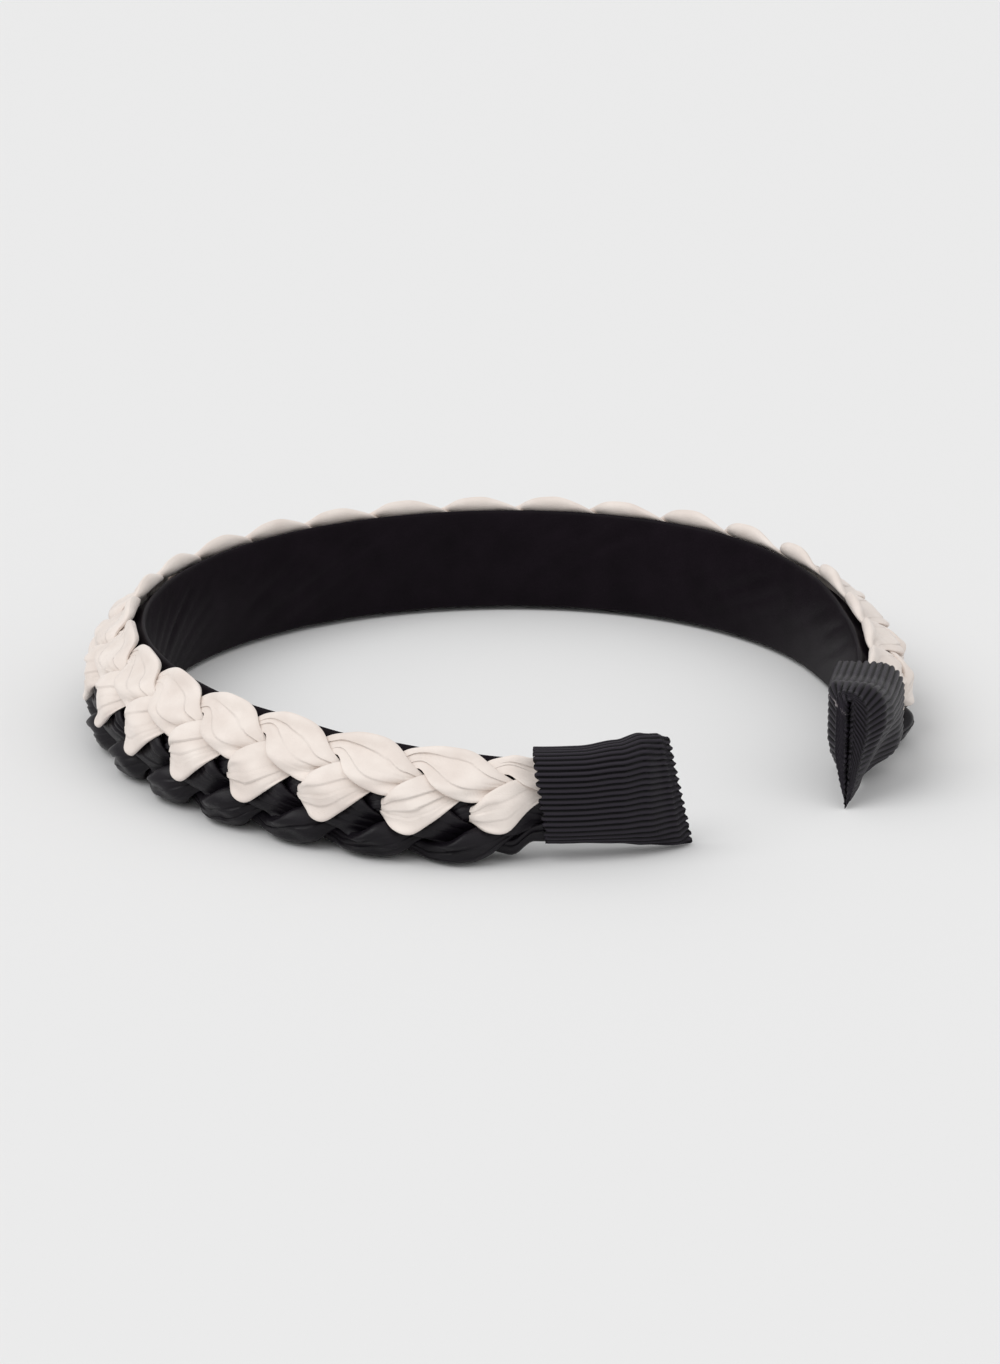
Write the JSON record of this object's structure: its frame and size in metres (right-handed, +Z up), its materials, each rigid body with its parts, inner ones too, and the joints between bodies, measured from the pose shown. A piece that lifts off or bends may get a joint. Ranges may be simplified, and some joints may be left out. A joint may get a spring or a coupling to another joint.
{
  "type": "braided headband",
  "caption": "Open hoop worn over the head, faced with a cream plait above a black plait, lined in black, with a ribbed ribbon tube pinched over each end.",
  "frame": {"origin": "centre of the bounding box at its lowest level, where the band rests on its lower edge", "axes": "+Z up across the band's width, +Y towards the crown, -Y towards the opening between the two ends, +X to the wearer's other side"},
  "size_m": [0.1538, 0.1546, 0.024],
  "materials": {
    "black_lining": "smooth satin",
    "cream_satin": "soft satin",
    "black_satin": "soft satin",
    "black_ribbon": "ribbed grosgrain"
  },
  "bodies": {
    "root": {"lining_band": "black_lining", "cream_strand_1": "cream_satin", "cream_strand_2": "cream_satin", "cream_strand_3": "cream_satin", "black_strand_1": "black_satin", "black_strand_2": "black_satin", "black_strand_3": "black_satin", "ribbon_end_left": "black_ribbon", "ribbon_end_right": "black_ribbon"}
  },
  "joints": []
}
